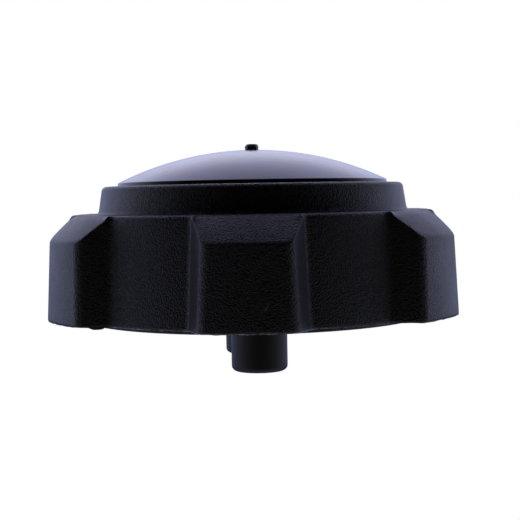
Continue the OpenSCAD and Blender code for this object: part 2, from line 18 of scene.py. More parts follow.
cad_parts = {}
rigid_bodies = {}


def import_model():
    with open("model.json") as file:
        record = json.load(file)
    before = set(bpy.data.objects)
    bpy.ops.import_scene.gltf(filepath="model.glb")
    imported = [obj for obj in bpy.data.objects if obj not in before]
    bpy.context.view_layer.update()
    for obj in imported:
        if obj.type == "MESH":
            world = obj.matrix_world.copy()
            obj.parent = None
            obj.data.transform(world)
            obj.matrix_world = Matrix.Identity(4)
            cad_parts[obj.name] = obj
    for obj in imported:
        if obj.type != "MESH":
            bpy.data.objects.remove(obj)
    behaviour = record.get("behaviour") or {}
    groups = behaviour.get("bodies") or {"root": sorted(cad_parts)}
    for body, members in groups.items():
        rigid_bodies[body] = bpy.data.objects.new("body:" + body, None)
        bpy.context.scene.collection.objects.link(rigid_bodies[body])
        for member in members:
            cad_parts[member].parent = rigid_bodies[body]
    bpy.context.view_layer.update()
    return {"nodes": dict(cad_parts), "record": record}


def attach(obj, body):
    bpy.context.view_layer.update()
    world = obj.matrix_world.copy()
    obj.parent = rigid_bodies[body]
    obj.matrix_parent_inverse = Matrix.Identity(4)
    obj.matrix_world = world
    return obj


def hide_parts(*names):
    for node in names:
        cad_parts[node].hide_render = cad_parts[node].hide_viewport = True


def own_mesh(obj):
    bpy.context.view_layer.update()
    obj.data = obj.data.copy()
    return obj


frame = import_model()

mm = 0.001
nodes = frame["nodes"]

# %% [markdown]
# ## The camera
# The photograph is taken almost level with the cap, from a hand's length away, and the cap stands a degree
# out of true in it. A camera could be aimed with a Track To constraint, but then its roll would need a
# second object. Here the view direction is turned into a rotation, and the roll is multiplied in after it.

# %% Camera
camera_away = 224.7 * mm
camera_side = math.radians(-3.46)
camera_height = 22.8 * mm
camera_roll = math.radians(-1.02)
aim_height = 10.56 * mm
aim_right = 1.21 * mm

camera_data = bpy.data.cameras.new("camera")
camera_data.lens = 82.0
camera_data.sensor_width = 36
camera_data.clip_start = 0.01
camera_data.clip_end = 20
camera = bpy.data.objects.new("camera", camera_data)
bpy.context.scene.collection.objects.link(camera)
camera.location = (camera_away * math.sin(camera_side), -camera_away * math.cos(camera_side), camera_height)
right = Vector((math.cos(camera_side), math.sin(camera_side), 0))
aim = Vector((0, 0, aim_height)) + right * aim_right - camera.location
camera.rotation_mode = "QUATERNION"
camera.rotation_quaternion = aim.to_track_quat("-Z", "Y") @ Quaternion((0, 0, 1), camera_roll)
bpy.context.scene.camera = camera
print("camera pitch in degrees:", round(math.degrees(math.asin(aim.normalized().z)), 2))

# %% [markdown]
# ## Node trees as Python expressions
# A material is a graph of small boxes, and building one by hand takes a line for each box and each wire.
# Python lets a class say what + and * mean for its objects, so a wire that knows its own tree can turn
# `1 - mask * 0.5` into two Math nodes. Colours would turn grey in a Math node, so they have calls of their
# own. Every other node comes from one method, `add`, which sets the node's options first and its sockets
# after. The board's other methods are its short forms for what several finishes need, such as noise of a
# given size.

# %% One wire of a node tree
class Wire:
    """An output socket that Python's arithmetic can be used on."""

    def __init__(self, board, socket):
        self.board = board
        self.socket = socket

    def maths(self, operation, *parts):
        """A Math node on wires and numbers."""
        return self.board.add("ShaderNodeMath", {"operation": operation}, dict(enumerate(parts)))

    def __add__(self, other):
        return self.maths("ADD", self, other)

    def __radd__(self, other):
        return self.maths("ADD", other, self)

    def __sub__(self, other):
        return self.maths("SUBTRACT", self, other)

    def __rsub__(self, other):
        return self.maths("SUBTRACT", other, self)

    def __mul__(self, other):
        return self.maths("MULTIPLY", self, other)

    def __rmul__(self, other):
        return self.maths("MULTIPLY", other, self)

    def __abs__(self):
        return self.maths("ABSOLUTE", self)

    def between(self, low, high):
        """0 below low, 1 above high, and an even, soft-ended rise from one to the other."""
        return self.board.add(
            "ShaderNodeMapRange", {"interpolation_type": "SMOOTHSTEP"},
            {"Value": self, "From Min": low, "From Max": high})


class Board:
    """A node tree, and the few ways in which this lesson adds to it. Sizes are in millimetres."""

    def __init__(self, tree):
        self.tree = tree
        tree.nodes.clear()

    def add(self, kind, settings=None, sockets=None, out=0):
        """One node. Gives a wire from the output that is named, or a wire for each of several."""
        node = self.tree.nodes.new(kind)
        for name, value in (settings or {}).items():
            if name == "stops":
                ramp = node.color_ramp
                while len(ramp.elements) < len(value):
                    ramp.elements.new(0.5)
                for element, (place, colour) in zip(ramp.elements, value):
                    element.position = place
                    element.color = (*colour, 1)
            elif name == "blend":
                node.color_ramp.interpolation = value
            else:
                setattr(node, name, value)
        for name, value in (sockets or {}).items():
            if isinstance(value, Wire):
                self.tree.links.new(value.socket, node.inputs[name])
            else:
                node.inputs[name].default_value = value
        if isinstance(out, tuple):
            return [Wire(self, node.outputs[name]) for name in out]
        return Wire(self, node.outputs[out]) if node.outputs else node

    def mix(self, mask, first, second):
        """The first colour where the mask is 0 and the second where it is 1."""
        pair = [(*c, 1) if isinstance(c, tuple) else c for c in (first, second)]
        return self.add("ShaderNodeMix", {"data_type": "RGBA"}, {0: mask, 6: pair[0], 7: pair[1]}, out=2)

    def place(self):
        """The point's own place on the cap, in metres."""
        return self.add("ShaderNodeTexCoord", out="Object")

    def noise(self, size, where, detail=2.0, rough=0.5, warp=0.0):
        """Cloudy noise from 0 to 1 whose lumps are about this far across."""
        return self.add("ShaderNodeTexNoise", {}, {
            "Vector": where, "Scale": 1 / (size * mm), "Detail": detail, "Roughness": rough,
            "Distortion": warp})

    def cells(self, size, where, feature="F1"):
        """Distance from the middles of scattered cells of this size, or from the borders between them."""
        sockets = {"Vector": where, "Scale": 1 / (size * mm)}
        return self.add("ShaderNodeTexVoronoi", {"feature": feature}, sockets, out="Distance")

    def stretched(self, where, scale, turn=0.0):
        """The same places, turned about the cap's axis and scaled, which stretches a pattern on them."""
        return self.add("ShaderNodeMapping", {}, {"Vector": where, "Rotation": (0, 0, turn), "Scale": scale})

    def part(self, vector, axis):
        """One of the three numbers of a vector."""
        return self.add("ShaderNodeSeparateXYZ", {}, {0: vector}, out=axis)

    def bump(self, height, depth):
        """The surface's direction, as if it stood this much higher wherever the height is 1."""
        sockets = {"Strength": 1.0, "Distance": depth * mm, "Height": height}
        return self.add("ShaderNodeBump", {}, sockets, out="Normal")

    def edges(self, width, where):
        """1 along every edge and 0 away from it, made ragged with noise, as wear is."""
        soft = self.add("ShaderNodeBevel", {"samples": 4}, {"Radius": width * mm})
        true = self.add("ShaderNodeNewGeometry", out="Normal")
        turn = self.add(
            "ShaderNodeVectorMath", {"operation": "DOT_PRODUCT"}, {0: soft, 1: true}, out="Value")
        worn = self.noise(1.1, where, detail=4)
        return (1 - turn).between(0.01, 0.2) * worn.between(0.35, 0.65)


print("a wire and a board are ready")

# %% [markdown]
# ## White surroundings that light from behind
# The photograph is a backlit one: pure white all round, a bright wall behind and above the cap, and a dark
# room on the camera's side. That is why the dome shines and the front lug is nearly black. Lamps could copy
# it, but every lamp has an outline that a glossy dome would show. A world that changes with direction has
# none. The camera sees plain white. What lights the cap are three bands, each a colour ramp from the
# camera's side to the far side: a white table below, the wall at the cap's own height, and the wall above
# it. The table is brightest beside the cap, where no shadow falls on it, and the wall is brightest straight
# behind and above.

# %% World
world = bpy.data.worlds.new("studio")
bpy.context.scene.world = world
world.use_nodes = True
sky = Board(world.node_tree)
facing = sky.add("ShaderNodeTexCoord", out="Generated")
to_back, to_top = sky.add("ShaderNodeSeparateXYZ", {}, {0: facing}, out=("Y", "Z"))
round_the_cap = to_back * 0.5 + 0.5


def band(*stops):
    """Light round the cap at one height, from the camera's side (0) to the far side (1)."""
    return sky.add("ShaderNodeValToRGB", {"blend": "EASE", "stops": stops}, {0: round_the_cap})


black = (0, 0, 0)
table = band(
    (0.0, (0.05, 0.045, 0.04)), (0.13, (0.17, 0.152, 0.135)), (0.3, (0.35, 0.33, 0.36)),
    (0.5, (0.5, 0.55, 0.8)), (0.8, (0.12, 0.14, 0.3)))
level = band((0.25, black), (0.5, (0.33, 0.34, 0.42)), (0.7, (0.84, 0.9, 1.26)), (1.0, (0.55, 0.6, 1.05)))
above = band((0.5, black), (0.7, (0.27, 0.25, 0.38)), (0.875, (1.05, 1.07, 1.65)), (1.0, (2.4, 2.4, 2.85)))
wall = sky.mix(to_top.between(0.0, 0.7), level, above)
lit = sky.mix((0.0 - to_top).between(0.0, 0.3), wall, table)
light = sky.add("ShaderNodeBackground", {}, {"Color": lit, "Strength": 1.0})
white = sky.add("ShaderNodeBackground", {}, {"Color": (1, 1, 1, 1), "Strength": 1.0})
to_camera = sky.add("ShaderNodeLightPath", out="Is Camera Ray")
both = sky.add("ShaderNodeMixShader", {}, {0: to_camera, 1: light, 2: white})
sky.add("ShaderNodeOutputWorld", {}, {0: both})
bpy.context.scene.view_settings.view_transform = "Standard"
bpy.context.scene.view_settings.look = "None"
print("world nodes:", len(world.node_tree.nodes))

# %% [markdown]
# ## Floor
# The cap was photographed on white, with no shadow under it. A plain pale floor lies just under the valve
# bodies and shines evenly, so it shows as white from above and its back can be looked through from below.
# It is left out of reflections and bounced light, because the world's lowest band already lights the cap as
# the table did.

# %% A floor that only the camera sees
floor_half, floor_height = 3.0, -8.75 * mm
floor_mesh = bpy.data.meshes.new("floor")
floor_mesh.from_pydata(
    [(floor_half * x, floor_half * y, floor_height) for x, y in ((-1, -1), (1, -1), (1, 1), (-1, 1))],
    [], [(0, 1, 2, 3)])
floor = bpy.data.objects.new("floor", floor_mesh)
bpy.context.scene.collection.objects.link(floor)

pale = bpy.data.materials.new("pale floor")
pale.use_nodes = True
board = Board(pale.node_tree)
shine = board.add("ShaderNodeEmission", {}, {"Color": (1, 1, 1, 1), "Strength": 1.0})
clear = board.add("ShaderNodeBsdfTransparent")
underneath = board.add("ShaderNodeNewGeometry", out="Backfacing")
one_sided = board.add("ShaderNodeMixShader", {}, {0: underneath, 1: shine, 2: clear})
board.add("ShaderNodeOutputMaterial", {}, {0: one_sided})
floor_mesh.materials.append(pale)
for unseen in ("visible_diffuse", "visible_glossy", "visible_transmission", "visible_shadow"):
    setattr(floor, unseen, False)
print("floor at", round(floor_height / mm, 2), "mm")

# %% [markdown]
# ## Finishes
# Every finish here is a Principled shader whose colour, roughness and bump change over the surface. They
# all start from the point's own place on the cap in metres, so a grain of a quarter millimetre has that
# size on every piece and nothing needs to be unwrapped. `finish` holds what they share, so each finish is
# only its own recipe.

# %% One call for the shader itself
finishes = {}


def finish(name, tint, colour, roughness, bump, **plain):
    """Makes a material from its wires. Plain values are the same all over. The tint is for the viewport."""
    sockets = {"Base Color": colour, "Roughness": roughness, "Normal": bump}
    sockets.update((socket.replace("_", " "), value) for socket, value in plain.items())
    board = colour.board
    surface = board.add("ShaderNodeBsdfPrincipled", {}, sockets)
    board.add("ShaderNodeOutputMaterial", {}, {0: surface})
    finishes[name].diffuse_color = (*tint, 1)
    return finishes[name]


def new_board(name):
    """The board of a new, empty material, which is kept among the finishes."""
    material = bpy.data.materials.new(name)
    material.use_nodes = True
    finishes[name] = material
    return Board(material.node_tree)


print("finishes so far:", len(finishes))

# %% [markdown]
# ### The grained shell
# The mould of the shell was eroded by sparks, which leaves a skin of rounded bumps about half a millimetre
# apart. It hides scratches and keeps the grip dry. Such a grain could be a displaced mesh, but that would
# take millions of faces for something as deep as a hair. A bump is enough, made of one noise with little
# fine detail, so that its bumps stay round. Hands have polished their tips, so the same noise drives a thin
# coat. On walls seen at a slant the grain fades, and the faces that look up show it most. Those faces are
# painted lighter too, partly as settled dust and partly as painted light from above. The edges are worn
# lighter in patches, which also paints a highlight along them, and the front lug has one deep scratch and a
# nick near its foot.

# %% A scratch
def scratch(b, p, middle, length, width, lean):
    """1 along a straight scratch on the front lug, in millimetres, with its lean in degrees from level."""
    local = b.add("ShaderNodeMapping", {"vector_type": "TEXTURE"}, {
        "Vector": p, "Location": tuple(v * mm for v in middle), "Rotation": (0, math.radians(-lean), 0)})
    along, out, across = b.add("ShaderNodeSeparateXYZ", {}, {0: local}, out=("X", "Y", "Z"))
    ends = 1 - abs(along).between(length * 0.42 * mm, length * 0.5 * mm)
    sides = 1 - abs(across).between(width * 0.3 * mm, width * 0.5 * mm)
    return ends * sides * (1 - abs(out).between(3 * mm, 4 * mm))


print("a scratch can be placed on a finish")


# %% Grained shell
def grained_shell():
    b = new_board("grained shell")
    p = b.place()
    shoulder_top, front = 20 * mm, -38.6
    cloud = b.noise(9, p, detail=3)
    mottle = b.noise(1.6, p, detail=3)
    grain = b.noise(0.25, p, detail=0.4, rough=0.5)
    worn = b.edges(0.45, p)
    dust = 1 - b.cells(1.3, p).between(0.03, 0.055)
    upward = b.part(b.add("ShaderNodeNewGeometry", out="Normal"), "Z")
    slant = b.add("ShaderNodeLayerWeight", {}, {"Blend": 0.5}, out="Facing").between(0.22, 0.68)
    fade = 1 - slant * 0.85 * (1 - upward.between(0.85, 0.98))
    height = grain.between(0.25, 0.75) * fade * (1 + upward.between(0.3, 0.65) * 2.5)
    dark = b.mix(cloud, (0.003, 0.003, 0.0034), (0.0048, 0.0048, 0.0055))
    tips = grain.between(0.48, 0.72) * 0.8 + mottle.between(0.45, 0.75) * 0.2 + worn * 0.4
    grey = b.mix(tips, dark, (0.012, 0.012, 0.0135))
    speck = dust * b.noise(6, p).between(0.52, 0.66)
    colour = b.mix(speck * 0.5, grey, (0.16, 0.16, 0.18))
    # Upward faces below the tier are painted lighter: partly settled dust, partly painted light from above.
    below_tier = 1 - b.part(p, "Z").between(shoulder_top, shoulder_top + 1 * mm)
    dust_and_top_light = upward.between(0.8, 0.96) * b.noise(0.5, p).between(0.25, 0.7) * below_tier
    colour = b.mix(dust_and_top_light * 0.6, colour, (0.09, 0.09, 0.105))
    # Worn edges are lighter, here and in the tips above: partly wear, partly a painted highlight along the
    # edges.
    colour = b.mix(worn * 0.7, colour, (0.035, 0.035, 0.042))
    colour = b.mix(worn * b.noise(0.22, p, detail=0).between(0.52, 0.62) * 0.6, colour, (0.16, 0.16, 0.19))
    deep = scratch(b, p, (-0.4, front, 5.2), length=1.5, width=0.16, lean=60)
    marks = deep + scratch(b, p, (-2.6, front, 2.4), length=0.3, width=0.2, lean=0)
    colour = b.mix(marks * 0.7, colour, (0.2, 0.2, 0.23))
    roughness = 0.42 + (cloud - 0.5) * 0.14 - worn * 0.08 + (mottle - 0.5) * 0.1
    polish = grain.between(0.42, 0.62) * (1 - slant * 0.8) * 0.4
    return finish(
        "grained shell", (0.022, 0.022, 0.026), colour, roughness, b.bump(height, 0.09),
        IOR=1.5, Specular_IOR_Level=0.45, Coat_Weight=polish, Coat_Roughness=0.3)


grained_shell()
print("finishes:", list(finishes))

# %% [markdown]
# ### The gloss dome
# The dome's mould was polished, so the dome mirrors the bright wall behind it and grows brighter towards
# its far rim, as any smooth plastic does when it is seen at a slant. A perfect mirror would look like
# glass, so there are faint wipe marks: fine scratches stretched along one direction and a slow waviness of
# the surface. The nub in the middle was snapped off. Its top is rough and painted pale, partly as broken
# plastic and partly as a painted highlight from above.

# %% Gloss dome
def gloss_dome():
    b = new_board("gloss dome")
    p = b.place()
    nub_foot, nub_pale = 31.45 * mm, 31.6 * mm
    smear = b.noise(7, p, detail=4, rough=0.6, warp=1.2)
    along = b.stretched(p, (1.0, 14.0, 1.0), turn=0.6)
    across = b.stretched(p, (1.0, 18.0, 1.0), turn=-1.1)
    wipes = b.noise(4.5, along, detail=3).between(0.56, 0.7)
    wipes = wipes + b.noise(5.5, across, detail=3).between(0.58, 0.72)
    wave = b.noise(14, p, detail=1)
    peel = b.noise(1.4, p, detail=1)
    worn = b.edges(0.25, p)
    dust = (1 - b.cells(2.4, p).between(0.02, 0.045)) * b.noise(8, p).between(0.5, 0.62)
    colour = b.mix(smear.between(0.4, 0.7), (0.0045, 0.0045, 0.0062), (0.0085, 0.0085, 0.011))
    colour = b.mix(dust * 0.6 + worn * 0.1, colour, (0.12, 0.12, 0.14))
    # The nub's top is pale and rough: partly broken plastic, partly a painted highlight from above.
    broken_top_and_highlight = b.part(p, "Z").between(nub_foot, nub_pale)
    colour = b.mix(broken_top_and_highlight * b.noise(0.5, p).between(0.3, 0.6), colour, (0.33, 0.36, 0.46))
    roughness = 0.13 + smear * 0.1 + wipes * 0.05 + worn * 0.15 + broken_top_and_highlight * 0.3
    relief = wave * 0.7 + peel * 0.08 + wipes * 0.01
    return finish("gloss dome", (0.012, 0.012, 0.016), colour, roughness, b.bump(relief, 0.05), IOR=1.5)


print("nodes in the gloss dome's finish:", len(gloss_dome().node_tree.nodes))

# %% [markdown]
# ### Smooth black mouldings
# The threaded body, the valve bodies and the plate come from plain machined moulds. They are satin, with
# the faint turning marks of the mould running round them and slow flow marks where the plastic met itself.
# Wave Texture nodes in rings would give perfect circles. Noise squeezed along the height looks turned, not
# drawn.

# %% Smooth body
def smooth_body():
    b = new_board("smooth body")
    p = b.place()
    flow = b.noise(6, p, detail=4, warp=0.8)
    tooling = b.noise(1.0, b.stretched(p, (0.12, 0.12, 3.2)), detail=3)
    peel = b.noise(0.8, p, detail=2)
    worn = b.edges(0.3, p)
    colour = b.mix(flow, (0.0105, 0.0105, 0.0112), (0.0155, 0.0155, 0.0165))
    colour = b.mix(worn * 0.45, colour, (0.03, 0.03, 0.035))
    roughness = 0.44 + (flow - 0.5) * 0.16 + (tooling - 0.5) * 0.1 - worn * 0.05
    return finish(
        "smooth body", (0.018, 0.018, 0.021), colour, roughness,
        b.bump(tooling * 0.5 + peel * 0.35, 0.012), IOR=1.5, Specular_IOR_Level=0.34)


print("nodes in the smooth body's finish:", len(smooth_body().node_tree.nodes))

# %% [markdown]
# ### Acetal
# The ratchet and the poppets slide on their neighbours, so they are made of acetal, a waxy, milky plastic
# that needs no grease. Light goes a little way into it. The poppets have stood in petrol vapour, which
# stains them amber. One recipe makes both, with its colours as arguments.

# %% Acetal, clean and stained
def acetal(name, tint, pale_tint, stain_tint, stain):
    b = new_board(name)
    p = b.place()
    cloud = b.noise(5, p, detail=3)
    blot = b.noise(2.2, p, detail=5, rough=0.65, warp=1.0).between(0.42, 0.68)
    scuff = b.noise(0.5, p, detail=4).between(0.55, 0.8)
    worn = b.edges(0.2, p)
    colour = b.mix(cloud * 0.6, tint, pale_tint)
    colour = b.mix(blot * stain, colour, stain_tint)
    colour = b.mix(worn * 0.35, colour, tuple(0.7 * c for c in stain_tint))
    roughness = 0.36 + (cloud - 0.5) * 0.15 + scuff * 0.12
    return finish(
        name, tint, colour, roughness, b.bump(cloud * 0.3 + scuff * 0.5, 0.01),
        Subsurface_Weight=0.12, Subsurface_Scale=0.0008, Subsurface_Radius=(1.0, 0.8, 0.5), IOR=1.48)


acetal("natural acetal", (0.74, 0.72, 0.65), (0.82, 0.8, 0.74), (0.6, 0.53, 0.38), stain=0.25)
acetal("stained acetal", (0.62, 0.55, 0.36), (0.7, 0.62, 0.42), (0.42, 0.27, 0.1), stain=0.8)
print("finishes:", list(finishes))

# %% [markdown]
# ### Rubbers, foam and wire
# Nitrile rubber goes grey and chalky where fuel has dried on it, and keeps the fine lines of its mould. The
# small seals are a shinier fluoro rubber. The filter is an open foam: pale struts, with painted shade in the
# hollows of the cells between them, which is a Voronoi pattern's distance to its edge. The springs are drawn
# wire, with streaks along the coil and a tea-coloured film here and there.

# %% Rubber
def rubber(name, tint, bloom_tint, rough, bloom):
    b = new_board(name)
    p = b.place()
    dry = b.noise(3.2, p, detail=5, rough=0.62).between(0.42, 0.72)
    pores = 1 - b.cells(0.55, p).between(0.05, 0.3)
    line = b.noise(0.6, b.stretched(p, (0.2, 0.2, 3.0)), detail=2)
    worn = b.edges(0.2, p)
    colour = b.mix(dry * bloom + worn * 0.3, tint, bloom_tint)
    roughness = rough + dry * 0.16 + pores * 0.08
    return finish(
        name, tint, colour, roughness, b.bump(line * 0.5 - pores * 0.35, 0.02), Specular_IOR_Level=0.4)


rubber("gasket rubber", (0.014, 0.014, 0.015), (0.06, 0.06, 0.062), rough=0.6, bloom=0.6)
rubber("seal rubber", (0.011, 0.011, 0.012), (0.03, 0.03, 0.033), rough=0.42, bloom=0.3)
print("finishes:", len(finishes))


# %% Foam and wire
def filter_foam():
    b = new_board("filter foam")
    p = b.place()
    hollow = b.cells(0.75, p, "DISTANCE_TO_EDGE").between(0.02, 0.22)
    soot = b.noise(6, p, detail=4).between(0.4, 0.7)
    # The hollows of the cells are painted dark: painted shade in the pores of the foam.
    colour = b.mix(hollow, (0.2, 0.2, 0.205), (0.028, 0.028, 0.03))
    colour = b.mix(soot * 0.5, colour, (0.05, 0.044, 0.036))
    roughness = 0.86 + hollow * 0.1
    return finish("filter foam", (0.12, 0.12, 0.125), colour, roughness, b.bump(1 - hollow, 0.25))


def spring_steel():
    b = new_board("spring steel")
    p = b.place()
    streak = b.noise(0.5, b.stretched(p, (1, 1, 6)), detail=4)
    film = b.noise(2.4, p, detail=4).between(0.5, 0.75)
    colour = b.mix(streak, (0.5, 0.5, 0.52), (0.68, 0.68, 0.7))
    colour = b.mix(film * 0.5, colour, (0.36, 0.26, 0.15))
    roughness = 0.26 + streak * 0.16 + film * 0.2
    return finish("spring steel", (0.62, 0.62, 0.64), colour, roughness, b.bump(streak, 0.006), Metallic=1.0)


filter_foam()
spring_steel()
print("finishes:", len(finishes))

# %% [markdown]
# ### Flash
# Where two halves of a mould meet, a hair of plastic squeezes out and is trimmed off with a knife. What
# stays is thin, and it is painted nearly white: a painted highlight. Two ramps along X keep that to the
# middle of the front: at the left the edge stays black, and towards the right the painted highlight is
# fainter.

# %% Flash
def flash_with_painted_highlight():
    b = new_board("flash with painted highlight")
    p = b.place()
    sideways = b.part(p, "X")
    # The pale colour is a painted highlight, kept by two ramps along X to the middle of the front.
    highlight_span = sideways.between(-26.5 * mm, -24.5 * mm) * (1 - sideways.between(0, 12 * mm) * 0.55)
    painted_highlight = b.noise(0.7, p, detail=3, rough=0.6).between(0.25, 0.75) * highlight_span
    nick = b.noise(0.16, p, detail=2)
    colour = b.mix(painted_highlight, (0.03, 0.03, 0.034), (0.66, 0.66, 0.76))
    roughness = 0.3 + nick * 0.3
    return finish("flash with painted highlight", (0.06, 0.06, 0.07), colour, roughness, b.bump(nick + painted_highlight * 0.5, 0.03))


flash_with_painted_highlight()
print("finishes:", list(finishes))

# %% [markdown]
# ## Shapes from rings of points
# Almost everything on a cap is round: a profile, turned about an axis. Blender's Spin or Screw tools would
# do that, but lugs and teeth change the profile with the angle. So a piece is made as a table of points,
# with one row of the table for each angle, and neighbours are joined by four-sided faces. A turned piece is
# the case in which every row has the same profile.

# %% From a mesh to a piece of the cap
def show(name, mesh, finish_name, body, replaced=(), sharp=38):
    """A piece with its finish, on its body. Edges that turn by more than the sharp angle stay crisp."""
    mesh.set_sharp_from_angle(angle=math.radians(sharp))
    piece = bpy.data.objects.new(name, mesh)
    bpy.context.scene.collection.objects.link(piece)
    mesh.materials.append(finishes[finish_name])
    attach(piece, body)
    if replaced:
        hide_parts(*replaced)
    print(name, "has", sum(len(face.vertices) - 2 for face in mesh.polygons), "triangles")
    return piece


# %% A mesh from a table of points
def mesh_of(name, points, faces):
    """A mesh from points in millimetres. Points that coincide, such as those on an axis, become one."""
    mesh = bpy.data.meshes.new(name)
    mesh.from_pydata([tuple(p * mm) for p in points], [], faces)
    work = bmesh.new()
    work.from_mesh(mesh)
    bmesh.ops.remove_doubles(work, verts=work.verts, dist=0.0005 * mm)
    bmesh.ops.recalc_face_normals(work, faces=work.faces)
    work.to_mesh(mesh)
    work.free()
    mesh.shade_smooth()
    return mesh


def skin_faces(rows, across, wrap_rows=True, wrap_across=True, first=0):
    """Faces between neighbouring points of a table that starts at the given point."""
    faces = []
    for i in range(rows if wrap_rows else rows - 1):
        here, there = i * across, (i + 1) % rows * across
        for k in range(across if wrap_across else across - 1):
            k2 = (k + 1) % across
            faces.append((first + here + k, first + there + k, first + there + k2, first + here + k2))
    return faces


def turned(angles, radii, heights, centre=(0, 0)):
    """Points of a table. Radii and heights are one profile, or one for each angle.

    The angles are one for each row of the table, or one for each of its points.
    """
    angles = angles if angles.ndim == 2 else angles[:, None]
    radii = np.broadcast_to(radii, (len(angles), radii.shape[-1]))
    heights = np.broadcast_to(heights, radii.shape)
    x = radii * np.cos(angles) + centre[0]
    y = radii * np.sin(angles) + centre[1]
    return np.stack([x, y, heights], axis=-1).reshape(-1, 3)


def full_turn(count, start=0.0):
    """Angles evenly round the axis, in radians, from a start in degrees."""
    return np.radians(start) + np.arange(count) * 2 * math.pi / count


print("tables of points can be skinned")

# %% [markdown]
# A profile is easiest to write as its sharp corners, each with a radius, as a maker's drawing gives them.
# The Bevel modifier can round such corners, yet it rounds all of them alike. `rounded` puts an arc of its
# own radius into each corner.

# %% Corners with radii
def rounded(corners, steps=6, closed=True):
    """The points of an outline of corners (x, y, radius)."""
    points = []
    count = len(corners)
    for i, (x, y, radius) in enumerate(corners):
        here = np.array([x, y], float)
        if radius == 0 or (not closed and i in (0, count - 1)):
            points.append(here)
            continue
        before = np.array(corners[i - 1][:2], float) - here
        after = np.array(corners[(i + 1) % count][:2], float) - here
        u, v = before / np.linalg.norm(before), after / np.linalg.norm(after)
        half = math.acos(float(np.clip(u @ v, -1, 1))) / 2
        centre = here + (u + v) / np.linalg.norm(u + v) * radius / math.sin(half)
        start = here + u * radius / math.tan(half) - centre
        turn = -math.copysign(math.pi - 2 * half, u[0] * v[1] - u[1] * v[0])
        for k in range(steps + 1):
            c, s = math.cos(turn * k / steps), math.sin(turn * k / steps)
            points.append(centre + (start[0] * c - start[1] * s, start[0] * s + start[1] * c))
    return np.array(points)


def lathe(corners, count, centre=(0, 0), steps=6):
    """A closed piece turned from one profile. One that starts on the axis ends there and closes itself."""
    solid = corners[0][0] == 0
    outline = rounded(corners, steps, closed=not solid)
    points = turned(full_turn(count), outline[:, 0], outline[:, 1], centre)
    return points, skin_faces(count, len(outline), wrap_across=not solid)


print("a corner rounded in 6 steps has", len(rounded([(0, 0, 0), (4, 0, 1), (4, 4, 0)])) - 2, "points")

# %% [markdown]
# A leg, a rib or a wire has two ends, so its table isn't joined to itself, and one flat face closes each
# end. Several such forms go into one mesh when a moulding carries them. `together` tells each one how many
# points come before its own, because a face names its points by number.

# %% Forms with two ends, and several forms in one mesh
def open_skin(rows, across, first=0):
    """Faces of a table whose first and last rows are closed ends."""
    last = first + (rows - 1) * across
    ends = [tuple(range(first, first + across)), tuple(reversed(range(last, last + across)))]
    return skin_faces(rows, across, wrap_rows=False, first=first) + ends


def arc_solid(profile, middle, span, steps):
    """A profile swept through a short arc, a leg, a bead or a rib. Its middle and span are in degrees."""
    angles = np.radians(middle + np.linspace(-span / 2, span / 2, steps + 1))
    outline = np.array(profile, float)
    points = turned(angles, outline[:, 0], outline[:, 1])
    return lambda first: (points, open_skin(steps + 1, len(outline), first))


def together(*parts):
    """Joins tables of points and their faces into one."""
    points, faces, count = [], [], 0
    for make in parts:
        more_points, more_faces = make(count)
        points.append(more_points)
        faces.extend(more_faces)
        count += len(more_points)
    return np.concatenate(points), faces


print("a bar with four sides has", len(open_skin(2, 4)), "faces")

# %% [markdown]
# ## The grip shell
# The shell is a moulding with six lugs for the fingers. Each lug has a turned, leaning face, two flanks
# that widen towards its root, and a slanting top, and every edge is softened so that the moulding leaves
# its mould. It could be cut from blocks and bevelled, but a bevel breaks down where three soft edges meet.
# Instead the outside is a formula: for an angle and a height it gives the distance from the axis. In plan a
# lug is a piece of circle, a round edge, a straight flank and a fillet, one after the other. The slanting
# top is one more distance, and the smaller of the two is the lug.

# %% Sizes of the shell, in millimetres and degrees
lug_count, lug_turn, lug_step = 6, -95.0, 60
half_step = math.radians(lug_step / 2)
# Heights of the lower edge, the shoulder and the tier, then the skirt's radii at both ends and its wall
shell_low, shoulder, tier_top = 1.0, 19.8, 24.9
skirt_r, shoulder_r, shell_wall = 34.8, 33.6, 2.6
# A lug's face from the axis and half its width at the foot, then how its flanks spread, narrow and lean
lug_face, lug_half = 39.2, 7.95
lug_flank, lug_draft, lug_lean = math.radians(22), math.radians(2.5), math.radians(2.5)
# The slanting top, from its lower to its upper end, and the height where the shoulder's curve begins
facet_z = 15.25
facet_low = (lug_face - (facet_z - shell_low) * math.tan(lug_lean), facet_z)
facet_top = (33.4, shoulder)
facet_bulge = 0.6
brow = shoulder - 1.1
# The web in the hollow of a lug, with its half width in degrees
web_half, web_low, web_wall = 1.2, 3.0, 0.03
# The threaded body: its rim, how much it narrows up to its crown, the clearance round it, and its groove
rim_r, rim_draft, crown = 31.9, 0.8, 16.9
gap = 0.3
groove_z, groove_depth = 7.2, 0.9
# The dome's seat in the tier and the ledge below it
dome_seat, ledge_low = tier_top - 0.8, tier_top - 2.9
dome_seat_r, ledge_r, tier_inner_r = 25.8, 22.8, 26.4
print("lugs:", lug_count, "at", [lug_turn + lug_step * i for i in range(lug_count)], "degrees")


# %% Distances from the axis, and the smaller of two with a soft edge
def body_r(z):
    """Outside of the threaded body, which the shell runs round."""
    return rim_r - rim_draft * z / crown


def skirt_at(z):
    """Outside of the skirt between the lugs."""
    return skirt_r - (skirt_r - shoulder_r) * (z - shell_low) / (shoulder - shell_low)


def soft_min(a, b, width):
    """The smaller of two, blended where they differ by less than the width."""
    overlap = np.clip(width - np.abs(a - b), 0, None) / width
    return np.minimum(a, b) - overlap ** 2 * width / 4


print("the skirt stands", round(skirt_at(shell_low) - body_r(shell_low), 2), "mm outside the body")


